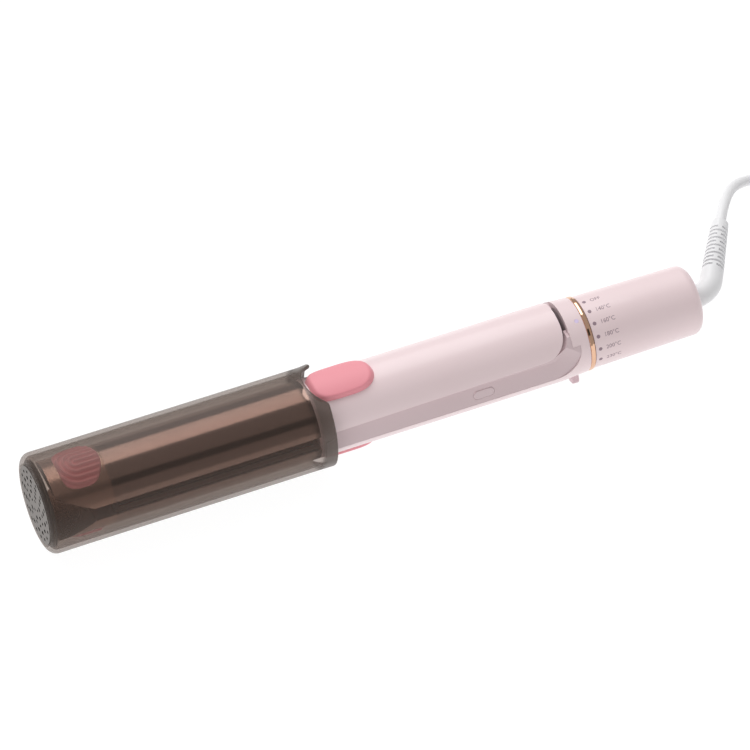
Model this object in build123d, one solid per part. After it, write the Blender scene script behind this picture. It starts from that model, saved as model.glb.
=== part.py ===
from build123d import *
import math
import os

# A two-in-one hair styler: two hinged arms close into a round curling barrel, with a soft heat sleeve
# over the hot end. Millimetres. Stations run along the wand from the front face of the heat sleeve;
# heights are measured from the wand's axis. The finished pieces are moved so that the wand lies on
# the XY plane, tip towards -X, with the origin under its middle.

# ---- round sections -----------------------------------------------------------------------------
BODY_R = 17.0             # barrel and handle, outside
UPPER_WALL = 1.8          # upper handle shell
LOWER_WALL = 2.7          # lower handle shell
RECESS_R = 14.1           # inner frame's side walls, seen between the two shells
FRAME_WALL = 1.6
FRONT_WALL = 2.0          # wall across the front of each arm's frame
BARREL_WALL = 1.4
COLLAR_R = 16.2           # rear edge of the collar, which narrows from the body
SLEEVE_R = 21.8           # heat sleeve, outside: the wand rests on it
SLEEVE_WALL = 1.6

# ---- vent disc in the sleeve's front face ---------------------------------------------------------
VENT_R = 17.2
VENT_GROOVE = 0.45        # open groove round the disc
VENT_FLANGE_GAP = 1.4     # flange in from the sleeve's inside
VENT_FLANGE = 1.0
# Rings of holes: radius of the ring, number of holes, length and width of each hole.
VENT_ROWS = [
    (14.8, 17, 1.8, 1.3),
    (11.9, 14, 2.3, 1.6),
    (9.0, 11, 1.7, 1.2),
    (6.1, 7, 2.2, 1.6),
    (3.0, 4, 1.5, 1.1),
]

# ---- lengths along the wand ----------------------------------------------------------------------
SLEEVE_LENGTH = 128.5
SLEEVE_FACE = 2.0         # front wall of the sleeve
SLEEVE_ROUND = 4.0
NOTCH_DEPTH = 7.0         # scallops above and below in the sleeve's rear edge
NOTCH_R = 13.6
ARM_SETBACK = 5.4         # arms' front behind the sleeve's front face
TIP_LENGTH = 24.6
TIP_FACE = 12.24          # height on the tip where its face starts to slope back
TIP_SLOPE = 15.25         # length of the sloping face
TIP_ROUND = 6.0
PAD_GAP = 1.0             # thumb pads behind the scallops
PAD_SETBACK = 1.5         # thumb pads behind the front of the handle shells
HANDLE_LENGTH = 112.6     # upper handle shell
REAR_GAP = 2.4            # between the upper arm and the collar, so that the arm can open
COLLAR_LENGTH = 7.7
COLLAR_TAPER = 4.0        # the taper starts this far ahead of the collar's rim
RING_LENGTH = 2.5
DIAL_LENGTH = 51.1

# ---- parting of the two arms ---------------------------------------------------------------------
PARTING_Z = 0.95          # the plates meet here
ARM_EDGE = 3.35           # each arm's edge stands this far from the parting
UPPER_EDGE_REAR_Z = 5.8   # upper shell's lower edge rises towards its rear end
UPPER_CORNER_R = 11.0
LOWER_EDGE_FRONT_Z = -5.9
LOWER_EDGE_REAR_Z = -5.8
LOWER_CORNER_R = 13.0
FLANK_CLEAR = 1.9         # sloping flank of the inner frame stays this far from the upper shell's edge
FLANK_REAR_Z = 12.0       # height it reaches behind the upper arm
COLLAR_FRONT = 3.5        # lower shell's edge rises this far behind the collar's rim
RIM_Z = 8.0               # the rim comes forward above this height

# ---- plates and heaters --------------------------------------------------------------------------
PLATE_WIDTH = 25.0
PLATE_INSET = 2.5         # plates stop this far from the tip and from the handle
PLATE_THICK = 3.2
PLATE_GAP = 0.15          # each plate stops short of the parting
PLATE_TRAVEL = 0.8        # each plate gives way by this much
PLATE_EDGE_R = 0.8
HEATER_WIDTH = 14.0
HEATER_INSET = 10.0       # in from the plate's ends
HEATER_THICK = 2.0
CUSHION_THICK = 1.1
CUSHION_SIZE = 5.5
CUSHION_INSET = 0.8       # cushions in from the plate's edges
TRAY_ROOF = 2.0

# ---- pads ----------------------------------------------------------------------------------------
THUMB_PAD_LENGTH = 29.0
THUMB_PAD_R = 19.5
THUMB_PAD_HALF_ANGLE = 30.0
THUMB_PAD_CORNER_R = 6.0
TIP_PAD_SETBACK = 5.0     # behind the arm's front
TIP_PAD_LENGTH = 19.2
TIP_PAD_R = 18.6
TIP_PAD_HALF_ANGLE = 40.0
TIP_PAD_CORNER_R = 7.0
PAD_EDGE_R = 0.9

# ---- hinge ---------------------------------------------------------------------------------------
HINGE_SETBACK = 8.6       # pin ahead of the upper shell's rear end
HINGE_Z = 5.0
PIN_R = 1.5
LUG_R = 3.6
LUG_WIDTH = 2.5
LUG_Y = 6.7
RIB_Z = 8.4               # underside of the upper arm's rib plate
RIB_THICK = 1.8
FRAME_TOP_Z = 7.4
WEB_CLEAR = 0.5           # web below the heater wires
WEB_THICK = 1.6

# ---- rear end ------------------------------------------------------------------------------------
TUBE_R = 9.5
TUBE_WALL = 2.0
TUBE_FLANGE_R = 13.9
TUBE_FLANGE = 3.0
DIAL_FRONT_R = 15.75
DIAL_REAR_R = 15.1
DIAL_WALL = 1.6
DIAL_WEB = 3.0
DIAL_WEB_INSET = 9.0
DIAL_ROUND = 4.0
DIAL_BACK = 2.6
ENCODER_LENGTH = 3.0
RING_R = 16.3
RING_EDGE = 0.5           # the ring's edges are lower than its crown by this much
RING_EASE = 0.12
RING_EASE_IN = 0.4
BUSH_LENGTH = 10.0
SPINDLE_R = 5.0
SPINDLE_BORE = 2.5
SPINDLE_HEAD_R = 6.6
SPINDLE_HEAD = 2.5

# ---- controls ------------------------------------------------------------------------------------
BUTTON_SETBACK = 74.0     # middle of the button behind the front of the handle
BUTTON_Z = -1.6
BUTTON_LENGTH = 9.5
BUTTON_WIDTH = 4.0
BUTTON_TRAVEL = 0.8
BUTTON_PROUD = 0.3
BUTTON_SEAT = 2.2         # flange inside the frame's wall
BUTTON_FLANGE = 0.8
BUTTON_EDGE_R = 0.5
LOCK_ANGLE = 15.5         # the lock tab points down, turned this far to the near side
LOCK_LENGTH = 3.3
LOCK_WIDTH = 5.0
LOCK_TRAVEL = 4.0
LOCK_REAR = 1.9           # tab ahead of the collar's rear edge
LOCK_PLATE = 1.2
LOCK_EDGE_R = 1.5
LED_ANGLE = 65.0          # above horizontal, on the near side
LED_R = 0.9
LED_AHEAD = 2.6

# ---- electronics ---------------------------------------------------------------------------------
BOARD_LENGTH = 62.0
BOARD_WIDTH = 19.0
BOARD_THICK = 1.6
BOARD_START = 17.0        # behind the front of the handle
STANDOFF = 1.0
STANDOFF_R = 1.2
STANDOFF_INSET = 2.6
WIRE_R = 0.8
UPPER_WIRE_Y = (-3.0, -5.0)
LOWER_WIRE_Y = (-3.0, 3.0)
MAINS_WIRE_Y = (-1.2, -3.4)
UPPER_WIRE_STOP = 8.0     # upper wires end this far ahead of the hinge
SWITCH_LENGTH = 6.0
SWITCH_DEPTH = 3.6
SPRING_THICK = 0.6
SPRING_LENGTH = 20.0
SPRING_FOOT = 8.0
SPRING_WIDTH = 3.5
SPRING_Y = 2.8
SPRING_SETBACK = 2.0      # foot's end ahead of the hinge
UPPER_SCREW_FRONT = 29.0  # front screw behind the front of the handle
UPPER_SCREW_REAR = 20.0   # rear screw ahead of the hinge
LOWER_SCREW_FRONT = 10.0
LOWER_SCREW_REAR = 9.0
SCREW_R = 0.85
SCREW_HEAD_R = 1.9
SCREW_HEAD = 0.9
SCREW_BITE = 3.4          # how far a screw goes into its boss
BOSS_R = 2.5

# ---- cord ----------------------------------------------------------------------------------------
CORD_D = 4.8
CORD_LENGTH = 1800.0
GUARD_R = 4.9
GUARD_TIP_R = 3.8
GUARD_STRAIGHT = 1.6
GUARD_SKIRT = 1.0
GUARD_BEND_R = 12.0
GUARD_PLAIN = 5.0         # plain stretch between the bend and the slots
GUARD_BEND = 59.0
GUARD_LENGTH = 31.0
GUARD_CORE_R = 2.9
GUARD_SLOTS = 11
GUARD_PITCH = 2.45
GUARD_MARGIN = 1.47       # first slot's middle behind the start of the taper
GUARD_SLOT = 1.15
GUARD_TURN = 10.0         # bridges turned this far from the top
GUARD_BRIDGE = 0.85
COIL_MID_D = 57.6
COIL_ROWS = 3
TIE_WIDTH = 12.0
TIE_TURN = 225.0          # where round the coil the tie sits
TIE_THICK = 0.8
PLUG_LENGTH = 34.0
# Sections of the plug's body: share of its length, width, height.
PLUG_SECTIONS = [(0.0, 14.0, 9.0), (0.45, 22.0, 12.0), (0.8, 26.0, 13.0), (1.0, 24.0, 12.0)]
PLUG_RELIEF = 20.0
PLUG_PIN_R = 2.0
PLUG_PIN_LENGTH = 19.0
PLUG_PIN_SPACING = 18.6
PLUG_EDGE_R = 3.0

# ---- clearances ----------------------------------------------------------------------------------
FIT = 0.1                 # between pieces that are fixed to each other
RUN = 0.05                # round a pin or shaft that turns
FREE = 0.3                # between pieces that slide past each other
OVER = 5.0                # how far a cutting shape runs past what it cuts

# ---- stations and radii that follow --------------------------------------------------------------
PAD_START = SLEEVE_LENGTH - NOTCH_DEPTH + PAD_GAP
HANDLE_START = PAD_START - PAD_SETBACK
UPPER_END = HANDLE_START + HANDLE_LENGTH
RIM = UPPER_END + REAR_GAP
COLLAR_END = RIM + COLLAR_LENGTH
DIAL_START = COLLAR_END + RING_LENGTH
REAR = DIAL_START + DIAL_LENGTH
HINGE = UPPER_END - HINGE_SETBACK
TIP_END = ARM_SETBACK + TIP_LENGTH
TIP_PAD_START = ARM_SETBACK + TIP_PAD_SETBACK
BUTTON_STATION = HANDLE_START + BUTTON_SETBACK
UPPER_SCREWS = (HANDLE_START + UPPER_SCREW_FRONT, HINGE - UPPER_SCREW_REAR)
LOWER_SCREWS = (HANDLE_START + LOWER_SCREW_FRONT, HINGE - LOWER_SCREW_REAR)
LOWER_INNER_R = BODY_R - LOWER_WALL
UPPER_INNER_R = BODY_R - UPPER_WALL
TRAY_R = BODY_R - BARREL_WALL - FIT
UPPER_EDGE_Z = PARTING_Z + ARM_EDGE
PLATE_BACK = PLATE_GAP + PLATE_THICK
HEATER_BACK = PLATE_BACK + HEATER_THICK
POCKET_ROOF = HEATER_BACK + CUSHION_THICK
HEATER_WIRE_H = PLATE_BACK + PLATE_TRAVEL + WIRE_R + FIT
LOWER_WIRE_Z = PARTING_Z - HEATER_WIRE_H
WEB_TOP = LOWER_WIRE_Z - WIRE_R - WEB_CLEAR
WEB_Z = WEB_TOP - WEB_THICK
BOARD_Z = WEB_TOP + STANDOFF
BOARD_TOP = BOARD_Z + BOARD_THICK
DIAL_FLOOR_R = DIAL_REAR_R - DIAL_WALL - DIAL_ROUND
TUBE_END = REAR - DIAL_BACK - max(FREE, TUBE_R + FREE - DIAL_FLOOR_R)
PLATE_START = TIP_END + PLATE_INSET
PLATE_END = HANDLE_START - PLATE_INSET
HEATER_START = PLATE_START + HEATER_INSET
HEATER_END = PLATE_END - HEATER_INSET
LOCK_START = COLLAR_END - LOCK_REAR - LOCK_LENGTH

# The cord's route from the end of its guard: across and along from the rear face, height above the
# surface. It leaves the guard level, comes down to the surface and runs into the coil.
CORD_ROUTE = [
    (39.18, 51.25, 21.8),
    (51.0, 64.0, 15.8),
    (66.0, 71.3, 6.4),
    (81.0, 74.1, 2.4),
    (96.0, 74.8, 2.4),
]
COIL_CENTRE = (97.8, 41.2)
# The short free end, from the coil to the plug.
TAIL_ROUTE = [
    (131.4, 41.2, 2.4),
    (131.1, 27.0, 2.4),
    (128.5, 13.5, 6.5),
    (128.5, 1.0, 6.5),
]


def rod(radius, start, end, y=0.0, z=0.0):
    """A round bar along the wand between two stations."""
    bar = Cylinder(radius, end - start, align=(Align.CENTER, Align.CENTER, Align.MIN))
    return Pos(start, y, z) * Rot(0, 90, 0) * bar


def tube(outer, inner, start, end):
    return rod(outer, start, end) - rod(inner, start - OVER, end + OVER)


def block(x0, x1, y0, y1, z0, z1):
    middle = ((x0 + x1) / 2, (y0 + y1) / 2, (z0 + z1) / 2)
    return Pos(*middle) * Box(x1 - x0, y1 - y0, z1 - z0)


def post(radius, x, y, z0, z1):
    """An upright round post."""
    return Pos(x, y, z0) * Cylinder(radius, z1 - z0, align=(Align.CENTER, Align.CENTER, Align.MIN))


def cross_pin(radius, y0, y1):
    """A round bar across the wand on the hinge axis."""
    return Pos(HINGE, (y0 + y1) / 2, HINGE_Z) * Rot(90, 0, 0) * Cylinder(radius, y1 - y0)


def slab(start, end, z0, z1):
    """Everything between two stations and two heights, wider than the wand."""
    wide = SLEEVE_R + OVER
    return block(start, end, -wide, wide, z0, z1)


def side_shape(*points, rounds=()):
    """A prism across the wand from its outline in side view, with some corners rounded."""
    outline = Plane.XZ * make_face(Polyline(*points, close=True).edges())
    for corner, radius in rounds:
        near = outline.vertices().sort_by_distance(Vector(corner[0], 0, corner[1]))[0]
        outline = fillet(near, radius)
    return extrude(outline, SLEEVE_R + OVER, both=True)


def turned(*points):
    """A solid of revolution about the wand's axis from (station, radius) points."""
    outline = Plane.XY * make_face(Polyline(*points, close=True).edges())
    return revolve(outline, Axis.X)


def around(angle, shape):
    """Turn a shape about the wand's axis."""
    return Rot(angle, 0, 0) * shape


def save(name, *solids, place=Pos(-REAR / 2, 0, SLEEVE_R)):
    """Move a node's solids to the resting place and write them."""
    pieces = []
    for item in solids:
        pieces += (place * item).solids()
    whole = pieces[0] if len(pieces) == 1 else Compound(children=pieces)
    export_step(whole, os.path.join("parts", name + ".step"))


# ==== heat sleeve =================================================================================
# Soft sleeve with a closed front face that holds a perforated disc, and a scalloped rear edge.
sleeve_inner = SLEEVE_R - SLEEVE_WALL
sleeve = rod(SLEEVE_R, 0, SLEEVE_LENGTH)
sleeve = fillet(sleeve.edges().group_by(Axis.X)[0], SLEEVE_ROUND)
hollow = rod(sleeve_inner, SLEEVE_FACE, SLEEVE_LENGTH + OVER)
hollow = fillet(hollow.edges().group_by(Axis.X)[0], SLEEVE_ROUND - SLEEVE_FACE)
scallop_middle = SLEEVE_LENGTH - NOTCH_DEPTH + NOTCH_R
scallops = Pos(scallop_middle, 0, 0) * Cylinder(NOTCH_R, 3 * SLEEVE_R)
sleeve = sleeve - hollow - scallops - rod(VENT_R + VENT_GROOVE, -OVER, SLEEVE_FACE + OVER)
save("heat_sleeve", sleeve)

flange_r = sleeve_inner - VENT_FLANGE_GAP
vent = rod(VENT_R, FIT, SLEEVE_FACE + FIT + VENT_FLANGE)
vent += rod(flange_r, SLEEVE_FACE + FIT, SLEEVE_FACE + FIT + VENT_FLANGE)
for row_r, count, long, wide in VENT_ROWS:
    hole = Plane.YZ * Pos(0, row_r) * SlotOverall(long, wide)
    punch = extrude(hole, SLEEVE_FACE + VENT_FLANGE + OVER)
    for step in range(count):
        vent -= around((step + row_r / SLEEVE_R) * 360 / count, punch)
save("sleeve_vent_disc", vent)


# ==== the two hot ends ============================================================================
def half(shape, side):
    """Keep one arm's side of a shape: +1 above the parting, -1 below it."""
    edge = PARTING_Z + side * ARM_EDGE
    far = side * (SLEEVE_R + OVER)
    return shape & slab(-OVER, REAR + OVER, min(edge, far), max(edge, far))


def band(side, start, end, near, far, half_width):
    """A bar whose heights are counted from the parting towards one arm."""
    z = sorted((PARTING_Z + side * near, PARTING_Z + side * far))
    return block(start, end, -half_width, half_width, *z)


def pad(outer, start, length, half_angle, corner_r):
    """A finger pad that lies on the body: a rounded rectangle seen from above, with eased edges."""
    width = 2 * outer * math.sin(math.radians(half_angle))
    plan = Pos(start + length / 2, 0, 0) * RectangleRounded(length, width, corner_r)
    ring = tube(outer, BODY_R + FIT / 2, start - OVER, start + length + OVER)
    shape = ring & extrude(plan, SLEEVE_R)

    def is_outer(edge):
        return all(math.hypot(v.Y, v.Z) > outer - FIT for v in edge.vertices())

    return fillet([e for e in shape.edges() if is_outer(e)], PAD_EDGE_R)


for arm, side in (("upper", 1), ("lower", -1)):
    turn = 0 if side > 0 else 180
    edge_z = PARTING_Z + side * ARM_EDGE
    # end cap, rounded back from the top to the arm's edge
    cap = half(rod(BODY_R, ARM_SETBACK, TIP_END - FIT), side)
    brow = (ARM_SETBACK, side * TIP_FACE)
    sweep_back = side_shape(
        (ARM_SETBACK - OVER, edge_z - side * OVER),
        (ARM_SETBACK - OVER, side * TIP_FACE),
        brow,
        (ARM_SETBACK + TIP_SLOPE, edge_z),
        (ARM_SETBACK + TIP_SLOPE, edge_z - side * OVER),
        rounds=[(brow, TIP_ROUND)],
    )
    save(arm + "_tip", cap - sweep_back)

    tip_pad = pad(TIP_PAD_R, TIP_PAD_START, TIP_PAD_LENGTH, TIP_PAD_HALF_ANGLE, TIP_PAD_CORNER_R)
    save(arm + "_tip_pad", around(turn, tip_pad))

    barrel = half(tube(BODY_R, BODY_R - BARREL_WALL, TIP_END, HANDLE_START), side)
    save(arm + "_barrel", barrel)

    # tray that holds the plate, its heater and their cushions
    roof_z = PARTING_Z + side * (POCKET_ROOF + TRAY_ROOF)
    tray = rod(TRAY_R, TIP_END + FIT, HANDLE_START - FIT)
    z = sorted((edge_z, roof_z))
    tray = tray & slab(TIP_END, HANDLE_START, *z)
    pocket_half = PLATE_WIDTH / 2 + FREE
    tray -= band(side, PLATE_START - FREE, PLATE_END + FREE, 0, POCKET_ROOF, pocket_half)
    lead_z = PARTING_Z + side * HEATER_WIRE_H
    for y in UPPER_WIRE_Y if side > 0 else LOWER_WIRE_Y:
        tray -= rod(WIRE_R + FIT, HEATER_START, HANDLE_START + OVER, y, lead_z)
    save(arm + "_plate_frame", tray)

    plate = band(side, PLATE_START, PLATE_END, PLATE_GAP, PLATE_BACK, PLATE_WIDTH / 2)
    face_z = PARTING_Z + side * PLATE_GAP
    face_edges = plate.edges().filter_by(Axis.X).filter_by(lambda e: abs(e.center().Z - face_z) < FIT)
    save(arm + "_plate", fillet(face_edges, PLATE_EDGE_R))
    heater = band(side, HEATER_START, HEATER_END, PLATE_BACK, HEATER_BACK, HEATER_WIDTH / 2)
    save(arm + "_heater", heater)
    cushions = []
    for x in (PLATE_START + CUSHION_INSET, PLATE_END - CUSHION_SIZE - CUSHION_INSET):
        for y in (CUSHION_INSET - PLATE_WIDTH / 2, PLATE_WIDTH / 2 - CUSHION_INSET - CUSHION_SIZE):
            z = sorted((PARTING_Z + side * PLATE_BACK, PARTING_Z + side * POCKET_ROOF))
            cushions.append(block(x, x + CUSHION_SIZE, y, y + CUSHION_SIZE, *z))
    save(arm + "_plate_cushions", *cushions)

    thumb_pad = pad(THUMB_PAD_R, PAD_START, THUMB_PAD_LENGTH, THUMB_PAD_HALF_ANGLE, THUMB_PAD_CORNER_R)
    save(arm + "_thumb_pad", around(turn, thumb_pad))

# ==== upper arm ===================================================================================
shell = tube(BODY_R, UPPER_INNER_R, HANDLE_START, UPPER_END)
high = BODY_R + OVER
shell &= side_shape(
    (HANDLE_START, UPPER_EDGE_Z),
    (UPPER_END, UPPER_EDGE_REAR_Z),
    (UPPER_END, high),
    (HANDLE_START, high),
    rounds=[((UPPER_END, UPPER_EDGE_REAR_Z), UPPER_CORNER_R)],
)
rib_top = RIB_Z + RIB_THICK
for x in UPPER_SCREWS:
    shell += post(BOSS_R, x, 0, rib_top + FIT, UPPER_INNER_R + FIT)
    shell -= post(SCREW_R + RUN, x, 0, RIB_Z, rib_top + SCREW_BITE + FIT)
save("upper_shell", shell)

inside = UPPER_INNER_R - FIT
ribs = rod(inside, HANDLE_START + FIT, HINGE) & slab(HANDLE_START, HINGE, RIB_Z, rib_top)
front_wall = HANDLE_START + FIT, HANDLE_START + FRONT_WALL
ribs += rod(inside, *front_wall) & slab(HANDLE_START, HINGE, UPPER_EDGE_Z + FIT, BODY_R)
for side in (-1, 1):
    y0, y1 = sorted((side * LUG_Y, side * (LUG_Y + LUG_WIDTH)))
    ribs += block(HINGE - LUG_R, HINGE + LUG_R, y0, y1, HINGE_Z, rib_top)
    ribs += cross_pin(LUG_R, y0, y1)
ribs -= cross_pin(PIN_R + RUN, -BODY_R, BODY_R)
upper_wire_z = PARTING_Z + HEATER_WIRE_H
around_wire = WIRE_R + FREE
notch_y = min(UPPER_WIRE_Y) - around_wire, max(UPPER_WIRE_Y) + around_wire
ribs -= block(HANDLE_START - OVER, HANDLE_START + OVER, *notch_y, 0, upper_wire_z + around_wire)
for x in UPPER_SCREWS:
    ribs -= post(SCREW_R + FIT, x, 0, RIB_Z - OVER, rib_top + OVER)
save("upper_frame", ribs)

wires = [rod(WIRE_R, HEATER_END, HINGE - UPPER_WIRE_STOP, y, upper_wire_z) for y in UPPER_WIRE_Y]
save("upper_heater_wires", *wires)

screws = []
for x in UPPER_SCREWS:
    head = post(SCREW_HEAD_R, x, 0, RIB_Z - SCREW_HEAD, RIB_Z)
    screws.append(head + post(SCREW_R, x, 0, RIB_Z, rib_top + SCREW_BITE))
save("upper_screws", *screws)

# ==== lower arm ===================================================================================
def body_profile(inner):
    """The handle's round outside with its narrowing collar, hollow inside."""
    return turned(
        (HANDLE_START, inner),
        (HANDLE_START, BODY_R),
        (RIM - COLLAR_TAPER, BODY_R),
        (COLLAR_END, COLLAR_R),
        (COLLAR_END, inner),
    )


body = body_profile(LOWER_INNER_R)
side_turn = RIM + COLLAR_FRONT
body &= side_shape(
    (HANDLE_START, -high),
    (HANDLE_START, LOWER_EDGE_FRONT_Z),
    (side_turn, LOWER_EDGE_REAR_Z),
    (side_turn, RIM_Z),
    (RIM, RIM_Z),
    (RIM, high),
    (COLLAR_END, high),
    (COLLAR_END, -high),
    rounds=[((side_turn, LOWER_EDGE_REAR_Z), LOWER_CORNER_R)],
)
for x in LOWER_SCREWS:
    body += post(BOSS_R, x, 0, -LOWER_INNER_R - FIT, WEB_Z - FIT)
    body -= post(SCREW_R + RUN, x, 0, WEB_Z - SCREW_BITE - FIT, WEB_Z + OVER)
# slot for the lock tab, and a seat for the status lens
slot_half = LOCK_WIDTH / 2 + FREE
slot_ends = LOCK_START - LOCK_TRAVEL - FREE, LOCK_START + LOCK_LENGTH + FREE
body -= around(-LOCK_ANGLE, block(*slot_ends, -slot_half, slot_half, -high, -LOCK_WIDTH))
led_station = COLLAR_END - LED_AHEAD
led_turn = 90 - LED_ANGLE
body -= around(led_turn, post(LED_R + RUN, led_station, 0, 0, high))
save("lower_shell", body)

led_top = COLLAR_R + (BODY_R - COLLAR_R) * LED_AHEAD / (COLLAR_LENGTH + COLLAR_TAPER) - RUN
save("led_lens", around(led_turn, post(LED_R, led_station, 0, LOWER_INNER_R, led_top)))

# inner frame: two side walls on a web, with eyes for the hinge pin
trough = tube(RECESS_R, RECESS_R - FRAME_WALL, HANDLE_START + FIT, RIM)
trough &= slab(HANDLE_START, RIM, WEB_Z, FRAME_TOP_Z)
web = rod(RECESS_R - FRAME_WALL + FIT, HANDLE_START + FIT, RIM)
web &= slab(HANDLE_START, RIM, WEB_Z, WEB_TOP)
wall = rod(RECESS_R, *front_wall) & slab(HANDLE_START, RIM, WEB_Z, UPPER_EDGE_Z - FREE)
trough -= slab(HANDLE_START, HANDLE_START + FRONT_WALL + FREE, UPPER_EDGE_Z - FREE, high)
trough = trough + web + wall
for y in LOWER_WIRE_Y:
    trough -= rod(WIRE_R + FIT, HANDLE_START - OVER, HANDLE_START + OVER, y, LOWER_WIRE_Z)
trough -= cross_pin(PIN_R + RUN, -BODY_R, BODY_R)
board_start = HANDLE_START + BOARD_START
board_end = board_start + BOARD_LENGTH
for x in (board_start + STANDOFF_INSET, board_end - STANDOFF_INSET):
    for y in (STANDOFF_INSET - BOARD_WIDTH / 2, BOARD_WIDTH / 2 - STANDOFF_INSET):
        trough += post(STANDOFF_R, x, y, WEB_TOP - FIT, BOARD_Z)
for x in LOWER_SCREWS:
    trough -= post(SCREW_R + FIT, x, 0, WEB_Z - OVER, WEB_Z + OVER)


def stadium(growth):
    """The mode button's outline in side view, grown all round."""
    outline = SlotOverall(BUTTON_LENGTH + 2 * growth, BUTTON_WIDTH + 2 * growth)
    return Plane.XZ * Pos(BUTTON_STATION, BUTTON_Z) * outline


# sloping flank on each side: flush with the lower shell's edge, and deeper towards the upper arm
flank = body_profile(RECESS_R - FIT)
gap_edge = side_turn - FIT
far_front, far_up = HANDLE_START - BODY_R, 2 * BODY_R
above_shell = side_shape(
    (HANDLE_START + FIT, LOWER_EDGE_FRONT_Z + FIT),
    (gap_edge, LOWER_EDGE_REAR_Z + FIT),
    (gap_edge, RIM_Z - FIT),
    (RIM - FIT, RIM_Z - FIT),
    (RIM - FIT, FLANK_REAR_Z),
    (HANDLE_START + FIT, FLANK_REAR_Z),
    rounds=[((gap_edge, LOWER_EDGE_REAR_Z + FIT), LOWER_CORNER_R)],
)
near_arm = side_shape(
    (far_front, UPPER_EDGE_Z - FLANK_CLEAR),
    (UPPER_END + FLANK_CLEAR, UPPER_EDGE_REAR_Z - FLANK_CLEAR),
    (UPPER_END + FLANK_CLEAR, far_up),
    (far_front, far_up),
    rounds=[((UPPER_END + FLANK_CLEAR, UPPER_EDGE_REAR_Z - FLANK_CLEAR), UPPER_CORNER_R + FLANK_CLEAR)],
)
flank_y = math.sqrt(BODY_R**2 - LOWER_EDGE_REAR_Z**2)
flank_top = UPPER_EDGE_Z - FLANK_CLEAR
flank_depth = flank_y - math.sqrt(RECESS_R**2 - flank_top**2)
slope = math.degrees(math.atan((flank_top - LOWER_EDGE_REAR_Z) / flank_depth))
mouth = make_face(
    Polyline(
        (-far_front, LOWER_EDGE_FRONT_Z),
        (-side_turn, LOWER_EDGE_REAR_Z),
        (-side_turn, far_up),
        (-far_front, far_up),
        close=True,
    ).edges()
)
turn_corner = mouth.vertices().sort_by_distance(Vector(-side_turn, LOWER_EDGE_REAR_Z, 0))[0]
mouth = fillet(turn_corner, LOWER_CORNER_R)
mouth = Plane((0, -flank_y, 0), x_dir=(-1, 0, 0), z_dir=(0, 1, 0)) * mouth
pocket = extrude(mouth, flank_depth, taper=slope) + extrude(mouth, -OVER)
flank = (flank & above_shell) - near_arm - pocket - mirror(pocket, about=Plane.XZ)
trough += flank
trough -= extrude(stadium(RUN), RECESS_R + OVER)
save("lower_frame", trough)

pin_half = math.sqrt(RECESS_R**2 - (HINGE_Z + PIN_R) ** 2) - RUN
save("hinge_pin", cross_pin(PIN_R, -pin_half, pin_half))

# leaf spring: a foot on the web, a bend, and a sloping leaf that ends under the upper arm's rib plate
spring_foot = HINGE - SPRING_SETBACK
spring_line = Polyline(
    (spring_foot, WEB_TOP + SPRING_THICK),
    (spring_foot - SPRING_FOOT, WEB_TOP + SPRING_THICK),
    (spring_foot - SPRING_LENGTH, RIB_Z - 3 * SPRING_THICK),
    (spring_foot - SPRING_LENGTH - 2 * SPRING_THICK, RIB_Z - SPRING_THICK),
)
leaf = extrude(Plane.XZ * trace(spring_line, SPRING_THICK), -SPRING_WIDTH)
save("arm_spring", Pos(0, SPRING_Y, 0) * leaf)

board = block(board_start, board_end, -BOARD_WIDTH / 2, BOARD_WIDTH / 2, BOARD_Z, BOARD_TOP)
save("circuit_board", board)
button_back = RECESS_R - FRAME_WALL - BUTTON_SEAT
switch_out = button_back - BUTTON_TRAVEL - RUN
switch_ends = BUTTON_STATION - SWITCH_LENGTH / 2, BUTTON_STATION + SWITCH_LENGTH / 2
switch = block(*switch_ends, -switch_out, SWITCH_DEPTH - switch_out, BOARD_TOP, BUTTON_Z + BUTTON_WIDTH / 2)
save("tact_switch", switch)
leads = [rod(WIRE_R, HEATER_END, board_start, y, LOWER_WIRE_Z) for y in LOWER_WIRE_Y]
save("lower_heater_wires", *leads)

screws = []
for x in LOWER_SCREWS:
    head = post(SCREW_HEAD_R, x, 0, WEB_TOP, WEB_TOP + SCREW_HEAD)
    screws.append(head + post(SCREW_R, x, 0, WEB_Z - SCREW_BITE, WEB_TOP))
save("lower_screws", *screws)

# ==== controls ====================================================================================
cap = extrude(stadium(0), BODY_R - button_back)
cap += extrude(stadium(BUTTON_FLANGE), BUTTON_FLANGE)
cap = Pos(0, -button_back, 0) * cap - Pos(0, -BUTTON_PROUD, 0) * pocket
save("mode_button", fillet(cap.faces().sort_by(Axis.Y)[0].edges(), BUTTON_EDGE_R))

tab_half = LOCK_WIDTH / 2
tilt = math.radians(LOCK_ANGLE)
lock_tip_r = (SLEEVE_R - tab_half * math.sin(tilt)) / math.cos(tilt)
keeper_r = LOWER_INNER_R - FREE
lock_ends = LOCK_START, LOCK_START + LOCK_LENGTH
tab = block(*lock_ends, -tab_half, tab_half, -lock_tip_r, LOCK_PLATE - keeper_r)
tab = fillet(tab.edges().filter_by(Axis.X).group_by(Axis.Z)[0], LOCK_EDGE_R)
tab = fillet(tab.edges().filter_by(Axis.Y).group_by(Axis.Z)[0], LOCK_EDGE_R / 2)
keeper = tube(keeper_r, keeper_r - LOCK_PLATE, LOCK_START - LOCK_PLATE, LOCK_START + LOCK_LENGTH + LOCK_PLATE)
keeper &= block(0, REAR, -slot_half - LOCK_PLATE, slot_half + LOCK_PLATE, -high, 0)
save("lock_slider", around(-LOCK_ANGLE, tab + keeper))

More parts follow.
